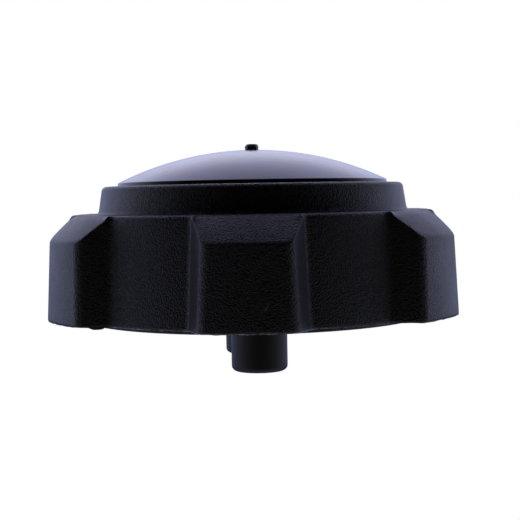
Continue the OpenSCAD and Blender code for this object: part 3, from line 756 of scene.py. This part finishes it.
# %% Plan and top of a lug
def lug_plan(turn, z, foot, inset=0.0, edge=2.3, fillet=1.5):
    """Distance to the wall of a lug or of its hollow, at a turn from the lug's middle, and its joints."""
    sin, cos, turn = math.sin(lug_flank), math.cos(lug_flank), np.abs(turn)
    lean = (z - shell_low) * math.tan(lug_lean)
    half = lug_half - inset * (1 - sin) / cos
    corner = math.sqrt((lug_face - inset) ** 2 - half ** 2) - lean
    half -= (z - shell_low) * math.tan(lug_draft)
    face, flank = lug_face - inset - lean, half * cos + corner * sin
    joints, arcs = [], []
    for radius, side in ((edge, -1), (fillet, 1)):
        reach = flank + side * radius
        along = math.sqrt(((foot if side > 0 else face) + side * radius) ** 2 - reach ** 2)
        x, y = reach * sin + along * cos, reach * cos - along * sin
        spread = np.sqrt(np.clip(radius ** 2 - (x * np.sin(turn) - y * np.cos(turn)) ** 2, 0, None))
        arcs.append(x * np.cos(turn) + y * np.sin(turn) - side * spread)
        joints += [math.atan2(y, x), math.atan2(y - side * radius * cos, x - side * radius * sin)]
    start, end, last, leave = joints
    straight = flank / (sin * np.cos(turn) + cos * np.sin(turn))
    stretches = [face, arcs[0], straight, arcs[1]]
    wall = np.select([turn < start, turn < end, turn < leave, turn < last], stretches, foot)
    return wall, (start, end, leave, last)


def top_r(z, inset=0.0):
    """The slanting top of a lug: distance from the axis at a height."""
    run, rise = facet_low[0] - facet_top[0], facet_top[1] - facet_low[1]
    up = (z - facet_low[1]) / rise
    bulge = facet_bulge * max(up, 0) * (1 - up)
    return facet_low[0] - up * run - inset * math.hypot(run, rise) / rise + bulge


def shell_r(turn, z):
    """Outside of the shell at an angle from the middle of the nearest lug."""
    wall, _ = lug_plan(turn, z, skirt_at(z))
    return np.maximum(skirt_at(z), soft_min(wall, top_r(z), 0.4))


print("across two lugs:", round(2 * float(shell_r(np.zeros(1), shell_low)[0]), 1), "mm")

# %% [markdown]
# The table of points needs its angles where the surface turns quickly. The joints between face, round edge,
# flank and fillet move inwards as a lug rises, because the flanks lean in, and the edge of the slanting top
# runs across them. So each height has angles of its own, laid from joint to joint. Then every crease lies
# on a line of points and stays crisp. On the inside, two angles that lie close together make the walls of
# the web in the hollow lug.

# %% Angles of one lug and of the whole shell
def lug_angles(z):
    """Angles at this height, in radians from a lug's middle, from one recess to the next."""
    dense = np.radians(np.linspace(0, lug_step / 2, 1201))
    wall, (start, end, leave, last) = lug_plan(dense, z, skirt_at(z))
    if top_r(z) < wall[0]:
        start = float(np.interp(-top_r(z), -wall, dense))
    crease = np.radians([-0.36, -0.18, 0, 0.18])
    first = np.radians([0, web_half / 2, web_half - web_wall, web_half + web_wall])
    marks = [first[-1], start + crease[0], start - crease[0]]
    for mark in (end, leave, last, half_step):
        marks.append(max(mark, marks[-1] + math.radians(0.1)))
    spans = [first, np.linspace(marks[0], marks[1], 8)[1:-1], start + crease]
    for low, high, count in zip(marks[2:], marks[3:], (8, 3, 7, 8)):
        spans.append(np.linspace(low, high, count, endpoint=False))
    half = np.concatenate(spans)
    return np.concatenate([-half[:0:-1], half, [half_step]])


def all_turns(z):
    """The angles at this height, lug after lug. Above the brow they stay as they are there."""
    return np.tile(lug_angles(min(z, brow)), lug_count)


columns = len(lug_angles(shell_low))
lug_places = np.repeat(np.arange(lug_count) * math.radians(lug_step), columns) + math.radians(lug_turn)
print("angles round the shell:", len(lug_places))

# %% [markdown]
# Now the outside, ring by ring from below. The lower edge is a quarter of a small circle. Rings lie close
# together round the crease at the foot of each slanting top. From the brow up, a curve with one handle
# leads each point over onto the shoulder: it leaves the wall in the wall's own direction and arrives level.

# %% Outside of the shell, from its lower edge to the shoulder
edge_radius, shoulder_run, slope_step = 0.3, 1.0, 0.2
crisp = [facet_z + step for step in (-0.55, -0.36, -0.25, -0.15, -0.05, 0.05, 0.15, 0.25, 0.36, 0.55)]
wall_z = np.concatenate([
    [shell_low + edge_radius, 2.2, 5.0, 8.0, 11.0, 13.5], crisp, np.arange(16.1, brow - 0.05, 0.3), [brow]])
foot = all_turns(shell_low)
foot_r = shell_r(foot, shell_low)
lower_edge = [
    (foot, foot_r - edge_radius * (1 - math.sin(a)), shell_low + edge_radius * (1 - math.cos(a)))
    for a in np.linspace(0, math.pi / 2, 5)[:-1]]
wall = [(all_turns(z), shell_r(all_turns(z), z), z) for z in wall_z]
head = all_turns(brow)
rise_r = shell_r(head, brow)
slope = (rise_r - shell_r(head, brow - slope_step)) / slope_step
corner_r = rise_r + slope * (shoulder - brow)
over = [
    (head, (1 - t) ** 2 * rise_r + 2 * t * (1 - t) * corner_r + t * t * (corner_r - shoulder_run),
     (1 - t) ** 2 * brow + (1 - (1 - t) ** 2) * shoulder)
    for t in np.linspace(0, 1, 10)[1:]]
outside = lower_edge + wall + over
print("rings on the outside:", len(outside))

# %% [markdown]
# The tier is turned, so one rounded profile gives its rings, down over the dome's seat and the ledge to the
# roof of the skirt. Inside the skirt the bore runs round the threaded body, and each lug is hollow, so that
# its walls cool evenly. The web in the hollow is where the pocket's formula is told to give the bore
# instead.

# %% Tier, dome seat and the hollow underneath
upper = rounded([
    (32.0, shoulder, 0), (29.0, shoulder, 0.8), (28.2, tier_top, 0.95), (dome_seat_r, tier_top, 0.12),
    (dome_seat_r, dome_seat, 0.15), (ledge_r, dome_seat, 0.15), (ledge_r, ledge_low, 0.2),
    (tier_inner_r, ledge_low, 0.3), (tier_inner_r, crown + gap, 0.25), (29.5, crown + gap, 0)], closed=False)
upper = [(head, np.full_like(foot_r, r), z) for r, z in upper[1:]]
inner_z = np.concatenate([
    [crown + gap, crown + 0.1], np.arange(16.7, 11.8, -0.3),
    [9.0, 6.0, web_low + web_wall, web_low - web_wall, 1.6, shell_low]])


def pocket_r(turn, z):
    """Inside of the skirt, with the hollow of a lug and the web across it."""
    bore = body_r(z) + gap
    walls, _ = lug_plan(turn, z, bore, shell_wall, edge=0.8, fillet=0.2)
    hollow = soft_min(walls, top_r(z, shell_wall), 0.6)
    in_web = (np.abs(np.degrees(turn)) < web_half) & (z > web_low)
    return np.where(in_web, bore, np.maximum(bore, hollow))


inside = [(all_turns(z), pocket_r(all_turns(z), z), z) for z in inner_z]
rings = outside + upper + inside
shell_angles = np.stack([turn + lug_places for turn, r, z in rings], axis=1)
shell_radii = np.stack([r for turn, r, z in rings], axis=1)
shell_heights = np.array([z for turn, r, z in rings])
print("rings in all:", len(rings))

# %% [markdown]
# The shell snaps onto the threaded body with six short beads, which run in the body's groove. Six ribs hang
# from the roof of the tier into the ratchet ring and turn it. Both kinds start a little inside the wall
# that carries them, so that no gap can show.

# %% Snap beads, driving ribs and the whole shell
def snap_bead(middle):
    """A bead that reaches into the body's groove as far as the shell's clearance lets it."""
    half, bevel, root = 0.95, 0.4, body_r(groove_z) + gap + 0.5
    tip = body_r(groove_z) - groove_depth + gap
    low, high = groove_z - half, groove_z + half
    profile = [(root, low - bevel), (root, high + bevel), (tip, high - bevel), (tip, low + bevel)]
    return arc_solid(profile, middle, span=22, steps=16)


def drive_rib(middle):
    """A rib under the roof of the tier that stands in a notch of the ratchet ring."""
    inner, outer, low = 23.15, 24.85, 15.0
    root, roof, top = tier_inner_r + 0.5, crown + gap, ledge_low + 0.5
    profile = [(inner, low), (outer, low), (outer, roof), (root, roof), (root, top), (inner, top)]
    return arc_solid(profile, middle, span=5.6, steps=3)


def shell_skin(first):
    """The whole table of the shell, which closes on itself both ways."""
    points = turned(shell_angles, shell_radii, shell_heights)
    return points, skin_faces(len(lug_places), len(rings), first=first)


beads = [snap_bead(lug_turn + lug_step * (i + 0.5)) for i in range(lug_count)]
ribs = [drive_rib(lug_turn + lug_step * i) for i in range(lug_count)]
shell_mesh = mesh_of("shell", *together(shell_skin, *beads, *ribs))
show("shell_moulding", shell_mesh, "grained shell", "grip", ["grip_shell"], sharp=50)

# %% [markdown]
# ### Flash along the lower edge
# The mould parts along the shell's lower edge, and a thin, uneven lip of flash is left there. It shows as
# a fine pale line under the recesses, partly lit and partly a painted highlight. A displaced edge loop would
# need a very fine shell, so the flash is a ribbon of its own. It follows the formula of the wall, stands a
# little inside it, and its height wanders. At one corner a scrap was left where the knife lifted.

# %% An uneven line
def ragged(angles, low, high, seed):
    """A fixed uneven line round the cap, made of waves whose phases come from a seeded draw."""
    draw = np.random.default_rng(seed)
    line = np.zeros_like(angles)
    for count in (3, 7, 11, 19, 31, 43, 61, 83, 109, 149):
        line += np.sin(count * angles + draw.uniform(0, 2 * math.pi)) * draw.uniform(0.4, 1) / count ** 0.25
    line = (line - line.min()) / (line.max() - line.min())
    return low + (high - low) * line


flash_steps, flash_inset, scrap_length = 1440, 0.16, 0.42
flash_angles = full_turn(flash_steps, lug_turn)
drop = ragged(flash_angles, 0.02, 0.24, seed=5)
outward = ragged(flash_angles, -0.03, 0.07, seed=6)
scrap_at, scrap_half = math.radians(lug_turn - lug_step + 14.5), math.radians(1.1)
from_scrap = (flash_angles - scrap_at + math.pi) % (2 * math.pi) - math.pi
drop = drop + scrap_length * np.exp(-(from_scrap / scrap_half) ** 4)
print("the flash hangs down by up to", round(float(drop.max()), 2), "mm")

# %% Flash
root_half, tip_out, tip_in = 0.08, 0.05, 0.04
flash_turns = (flash_angles - math.radians(lug_turn) + half_step) % (2 * half_step) - half_step
edge_r = shell_r(flash_turns, shell_low) - flash_inset
flash_radii = np.stack([
    edge_r - root_half, edge_r + root_half, edge_r + tip_out + outward, edge_r - tip_in + outward], axis=1)
flash_root = np.full_like(drop, shell_low + 0.05)
flash_heights = np.stack([flash_root, flash_root, shell_low - drop, shell_low - drop], axis=1)
flash_mesh = mesh_of("flash", turned(flash_angles, flash_radii, flash_heights), skin_faces(flash_steps, 4))
# Its finish paints a highlight along the flash.
show("shell_flash", flash_mesh, "flash with painted highlight", "grip")

# %% [markdown]
# ## The dome
# The dome is a slice of a ball, with an upright edge that stands a little above the tier and a nub at its
# centre, where the plastic was fed into the mould and broken off. Its legs snap under the shell's ledge. It
# is turned from a profile with many steps, because a mirror shows every flat.

# %% Profile of the dome
ball_r, dome_r, dome_top, dome_wall = 57.19, 25.5, 31.4, 2
soft, hollow_r, dome_steps = 0.1, 21.4, 256


def ball_z(r, radius):
    """Height of a ball of this radius at a distance from the axis. Both faces share the ball's middle."""
    return dome_top - ball_r + np.sqrt(radius ** 2 - r ** 2)


out_r = np.concatenate([np.linspace(0, 24.6, 40), np.linspace(24.7, 25.2, 5)])
crown_line = [(r, float(ball_z(r, ball_r))) for r in out_r]
edge_line = [
    (25.27, 25.47), (25.3, 25.4), (25.32, 24.9), (dome_r, 24.6), (dome_r, dome_seat + soft),
    (dome_r - soft, dome_seat)]
under_line = [(hollow_r + soft, dome_seat), (hollow_r, dome_seat + soft)]
hollow_line = [(r, float(ball_z(r, ball_r - dome_wall))) for r in np.linspace(hollow_r, 0, 24)]
dome_line = np.array(crown_line + edge_line + under_line + hollow_line)
print("the dome rises", round(dome_top - float(ball_z(dome_r, ball_r)), 2), "mm")


# %% Skin, legs and nub of the dome
def dome_skin(first):
    """The dome's table, whose profile starts and ends on the axis."""
    points = turned(full_turn(dome_steps), dome_line[:, 0], dome_line[:, 1])
    return points, skin_faces(dome_steps, len(dome_line), wrap_across=False, first=first)


def dome_leg(middle):
    """A leg through the ledge's hole, whose hook snaps under the ledge."""
    outer, hook, low, root = 22.5, 23.4, ledge_low - 1.0, dome_seat + 0.5
    return arc_solid([
        (hollow_r, low), (22.2, low), (hook, low + 0.5), (hook, ledge_low - gap), (outer, ledge_low - gap),
        (outer, root), (hollow_r, root)], middle, span=16, steps=12)


def gate_nub(first):
    """A short stub with a broken top, a little wider over its foot, as a snapped sprue is."""
    draw = np.random.default_rng(11)
    height, angles = 1.1, full_turn(40)
    line = rounded([
        (1.33, -0.15, 0), (1.2, 0.25, 0.3), (1.28, 0.62, 0.3), (0.92, height, 0.3), (0, height, 0)],
        steps=5, closed=False)
    radii = line[:, 0][None, :] * (1 + 0.05 * np.sin(2 * angles + 0.8) + 0.03 * np.sin(5 * angles))[:, None]
    lift = (line[:, 1] > 0.7)[None, :] * radii * 0.10 * np.cos(angles + 0.6)[:, None]
    rough = draw.uniform(-0.03, 0.03, radii.shape) * (line[:, 0] > 0)[None, :]
    heights = np.minimum(dome_top + line[:, 1][None, :] + lift * 0.5 + rough, dome_top + height)
    heights[:, -1] = dome_top + height - 0.04
    points = turned(angles, radii + rough * 0.5, heights)
    return points, skin_faces(len(angles), len(line), wrap_across=False, first=first)


legs = [dome_leg(lug_turn + lug_step * (i + 0.5)) for i in range(lug_count)]
dome_mesh = mesh_of("dome", *together(dome_skin, *legs, gate_nub))
show("dome_moulding", dome_mesh, "gloss dome", "grip", ["dome_cover"], sharp=40)

# %% [markdown]
# ## The threaded body
# Only its rim shows from the side, as the dark band under the shell. From below, its bore carries the
# thread. The crown above it has 36 sloping teeth on its inner side, for the ratchet's arms. The teeth are
# sharp steps, so each has two angles that almost coincide, one on each side of the step.

# %% Teeth of the crown
tooth_count, tooth_step, root_r, tooth_r = 36, 10.0, 29.5, 28.4
tooth_turns = [0.02, 1.4, 2.6, 3.8, 5.0, 6.2, 7.4, 8.7, 9.98]
body_turns = np.tile(tooth_turns, tooth_count)
body_places = np.repeat(np.arange(tooth_count) * tooth_step, len(tooth_turns)) + lug_turn
body_angles = np.radians(body_turns + body_places)
tooth_line = tooth_r + (root_r - tooth_r) * body_turns / tooth_step
print("angles round the body:", len(body_angles))

# %% Body with its toothed crown
thread_r, gasket_seat, plate_seat, mouth_r = 28.9, 10.4, 12.6, 29.7
opening_r, collar_r, collar_low = 19.7, 21.2, 7.6
weld_in, weld_out, weld_top = 21.9, 22.7, 14.4
groove_low, groove_high, groove_r = groove_z - 1.3, groove_z + 1.3, body_r(groove_z) - groove_depth
outer_side = rounded([
    (mouth_r, 0, 0.1), (rim_r, 0, 0.4), (body_r(groove_low), groove_low, 0.15), (groove_r, groove_low, 0),
    (groove_r, groove_high, 0), (body_r(groove_high), groove_high, 0.15), (body_r(crown), crown, 0.3),
    (29.9, crown, 0)], steps=4, closed=False)
inner_side = rounded([
    (28.0, plate_seat, 0), (weld_out, plate_seat, 0.15), (weld_out, weld_top, 0.15),
    (weld_in, weld_top, 0.15), (weld_in, plate_seat, 0), (opening_r, plate_seat, 0.1),
    (opening_r, collar_low, 0.3), (collar_r, collar_low, 0.4), (collar_r, gasket_seat, 0.1),
    (thread_r, gasket_seat, 0.1), (thread_r, 0.8, 0.2), (mouth_r, 0, 0)], steps=4, closed=False)[1:]


def all_round(line):
    """The same line at every angle of the body."""
    return np.broadcast_to(line, (len(body_angles), len(line)))


body_radii = np.concatenate([
    all_round(outer_side[:, 0]), tooth_line[:, None], tooth_line[:, None], all_round(inner_side[:, 0])],
    axis=1)
body_heights = np.concatenate([outer_side[:, 1], [crown, plate_seat], inner_side[:, 1]])
body_mesh = mesh_of(
    "body", turned(body_angles, body_radii, body_heights), skin_faces(len(body_angles), len(body_heights)))
show("body_moulding", body_mesh, "smooth body", "closure", ["threaded_body"], sharp=35)

# %% [markdown]
# ### The thread
# A coarse, rounded right-hand thread, so that dirt can't jam it and a turn or so closes the cap. Blender's
# Screw modifier makes threads, but its ends stay blunt. Real ones run out into the wall, so the ridge is a
# table of points once more: its section moves along a helix and sinks into the wall at both ends.

# %% Thread ridge
def thread_ridge(pitch, low, turn_count, start):
    """A ridge 1 mm high in the thread's wall, from a start in degrees. Each end rises over 40 degrees."""
    steps, run_out_turn, sunk = int(turn_count * 120), 40 / 360, 0.02
    share = np.linspace(0, 1, steps + 1)
    run_out = np.clip(np.minimum(share, 1 - share) * turn_count / run_out_turn, 0, 1)
    tall = np.sin(run_out * math.pi / 2) ** 1.4
    root, flank, tip = 0.25, 1.25, 0.5
    section = rounded([
        (root, -flank, 0), (0, -flank, 0.2), (-1, -tip, 0.35), (-1, tip, 0.35), (0, flank, 0.2),
        (root, flank, 0)], steps=4, closed=False)
    angles = np.radians(start) + share * turn_count * 2 * math.pi
    beyond, before = np.maximum(section[:, 0], 0), np.minimum(section[:, 0], 0)
    radii = thread_r + beyond + before * tall[:, None] + sunk
    heights = low + (pitch * turn_count * share)[:, None] + section[:, 1]
    return turned(angles, radii, heights), open_skin(steps + 1, len(section))


thread_mesh = mesh_of("thread", *thread_ridge(pitch=3.6, low=2.6, turn_count=1.35, start=20))
show("neck_thread_ridge", thread_mesh, "smooth body", "closure", sharp=60)

# %% [markdown]
# ## Neck gasket
# A flat ring of rubber under the seat. Its edges are soft, and the lip of the neck has pressed a shallow
# ring into it. A slight unevenness round the edge keeps it from looking machined.

# %% Gasket
gasket_in, gasket_out, gasket_low, print_depth, gasket_steps = 21.27, 28.3, 8.2, 0.22, 240
gasket_top, pressed = gasket_seat - 0.02, gasket_low + print_depth
gasket_line = rounded([
    (gasket_in, gasket_low, 0.35), (24.2, gasket_low, 0.3), (24.7, pressed, 0.3), (26.3, pressed, 0.3),
    (26.8, gasket_low, 0.3), (gasket_out, gasket_low, 0.4), (gasket_out, gasket_top, 0.3),
    (gasket_in, gasket_top, 0.3)], steps=4)
gasket_angles = full_turn(gasket_steps)
swell = ragged(gasket_angles, 0.0, 0.08, seed=3)
gasket_radii = gasket_line[:, 0] - swell[:, None] * (gasket_line[:, 0] > 27)
gasket_points = turned(gasket_angles, gasket_radii, gasket_line[:, 1])
gasket_mesh = mesh_of("gasket", gasket_points, skin_faces(gasket_steps, len(gasket_line)))
show("neck_seal_ring", gasket_mesh, "gasket rubber", "closure", ["neck_gasket"], sharp=45)

# %% [markdown]
# ## Valve bodies
# The two posts below the cap are the bodies of its valves. The front one lets pressure out and the rear one
# lets air in as fuel is used. They are plain forms with a round lower edge, so they are turned from
# profiles. Each has a bore for its poppet, which narrows to a port, with a thin lip round the port for the
# poppet's seal.

# %% Posts
valve_y, post_r, post_foot, post_steps = 12.65, 5.05, -8.6, 96
flange_r, flange_low, post_top = 7, 14.6, 16
bore_r, port_r, lip_r = 3.4, 1.75, 2.15
plug_top = post_foot + 1.3


def valve_post(name, middle, foot, port, node):
    """A post from the profiles of its foot and its port. Both have the same flange on top."""
    head = [
        (post_r, flange_low, 0.05), (flange_r, flange_low, 0.1), (flange_r, post_top, 0.3),
        (bore_r, post_top, 0.2)]
    mesh = mesh_of(name, *lathe(foot + head + port, post_steps, (0, middle)))
    show(name, mesh, "smooth body", "closure", [node], sharp=40)


low_port, low_lip, high_port, high_wall, high_lip = post_foot + 1.5, post_foot + 1.9, 6.3, 4.8, 4.4
valve_post(
    "pressure_post", -valve_y, [(port_r, post_foot, 0.15), (post_r, post_foot, 1.0)],
    [(bore_r, low_port, 0.1), (lip_r, low_port, 0.05), (lip_r, low_lip, 0.1), (port_r, low_lip, 0.1)],
    "pressure_valve_body")
valve_post(
    "vacuum_post", valve_y, [(bore_r, plug_top, 0.05), (post_r, plug_top, 0.12)],
    [(bore_r, high_port, 0.1), (port_r, high_port, 0.1), (port_r, high_lip, 0.1), (lip_r, high_lip, 0.1),
     (lip_r, high_wall, 0.05), (bore_r, high_wall, 0.1)], "vacuum_valve_body")

# %% [markdown]
# The rear post ends in a plug with a spigot, a stem that the spring stands round, and three vent holes. A
# hole off the axis can't be turned, so the vents are drilled with a Boolean modifier, as a maker would
# drill them.

# %% Plug with vent holes
def drilled(mesh, holes, radius, low, high):
    """The mesh with round holes cut through it, as a new mesh."""
    target = bpy.data.objects.new("drilled", mesh)
    bpy.context.scene.collection.objects.link(target)
    bits, outline = [], [(0, low, 0), (radius, low, 0), (radius, high, 0), (0, high, 0)]
    for hole in holes:
        bit = mesh_of("bit", *lathe(outline, count=32, centre=hole))
        tool = bpy.data.objects.new("bit", bit)
        bpy.context.scene.collection.objects.link(tool)
        cut = target.modifiers.new("hole", "BOOLEAN")
        cut.operation, cut.solver, cut.object = "DIFFERENCE", "EXACT", tool
        bits.append(tool)
    shaped = bpy.data.meshes.new_from_object(target.evaluated_get(bpy.context.evaluated_depsgraph_get()))
    for used in bits + [target]:
        bpy.data.objects.remove(used, do_unlink=True)
    return shaped


spigot_r, spigot_top, stem_r, stem_top = 3.36, post_foot + 2.3, 1.4, -0.1
vent_r, vent_middle_r, past = 0.6, 2.35, 1
whole_plug = mesh_of("plug", *lathe([
    (0, post_foot, 0), (post_r, post_foot, 1.0), (post_r, plug_top, 0.12), (spigot_r, plug_top, 0.05),
    (spigot_r, spigot_top, 0.15), (stem_r, spigot_top, 0.1), (stem_r, stem_top, 0.3), (0, stem_top, 0)],
    post_steps, (0, valve_y)))
vents = [(vent_middle_r * math.cos(a), valve_y + vent_middle_r * math.sin(a)) for a in full_turn(3)]
plug_mesh = drilled(whole_plug, vents, vent_r, post_foot - past, spigot_top + past)
show("vacuum_foot", plug_mesh, "smooth body", "closure", ["vacuum_end_plug"], sharp=35)

# %% [markdown]
# ## Valve springs
# Each poppet is held on its seat by a small spring, seven turns of thin wire with its end turns closed up.
# A circle that is lifted along a helix draws it, as the thread was drawn. A spring shortens by up to 1.2 mm
# as its poppet moves, so each one is a piece of its own, with a mesh of its own.

# %% One spring
spring_length, spring_r, travel = 8.5, 2.3, 1.2
turn_count, turn_steps, wire_sides, closed_pitch = 7, 28, 12, 1.15


def coil(wire, foot, middle):
    """Points and faces of a spring that stands on the height of its foot."""
    turns = np.linspace(0, turn_count, turn_count * turn_steps + 1)
    top, closed = spring_length - wire, closed_pitch * wire
    rise = np.interp(turns, [0, 1, turn_count - 1, turn_count], [0, closed, top - closed, top])
    section = full_turn(wire_sides)
    heights = foot + wire / 2 + rise[:, None] + wire / 2 * np.sin(section)
    points = turned(turns * 2 * math.pi, spring_r + wire / 2 * np.cos(section), heights, (0, middle))
    return points, open_skin(len(turns), wire_sides)


print("points in one spring:", len(coil(0.4, 0, 0)[0]))

# %% Both springs
for name, wire, foot, middle, joint, held, node in (
        ("pressure_coil", 0.45, -4.5, -valve_y, "pressure_lift", 4.0, "pressure_spring"),
        ("vacuum_coil", 0.35, -6.3, valve_y, "vacuum_drop", -6.3, "vacuum_spring")):
    coil_mesh = mesh_of(name, *coil(wire, foot, middle))
    spring = show(name, coil_mesh, "spring steel", "closure", [node])
    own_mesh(spring)

# %% [markdown]
# ## The inner pieces keep their solids
# The ring with its sprung arms, the plate, the filter, the poppets and the seals already have their true
# shapes as solids. A solid's object is never moved or reshaped here. It only gets its finish.

# %% Finishes for the solids that stay
slot_finish = {
    "natural_acetal": "natural acetal", "poppet_acetal": "stained acetal", "smooth_body": "smooth body",
    "gasket_rubber": "gasket rubber", "seal_rubber": "seal rubber", "filter_foam": "filter foam",
    "spring_steel": "spring steel", "grained_shell": "grained shell", "gloss_dome": "gloss dome",
}
for row in frame["record"]["subparts"]:
    solid = nodes[row["node"]]
    solid.data.materials.clear()
    solid.data.materials.append(finishes[slot_finish[row["material_slot"]]])
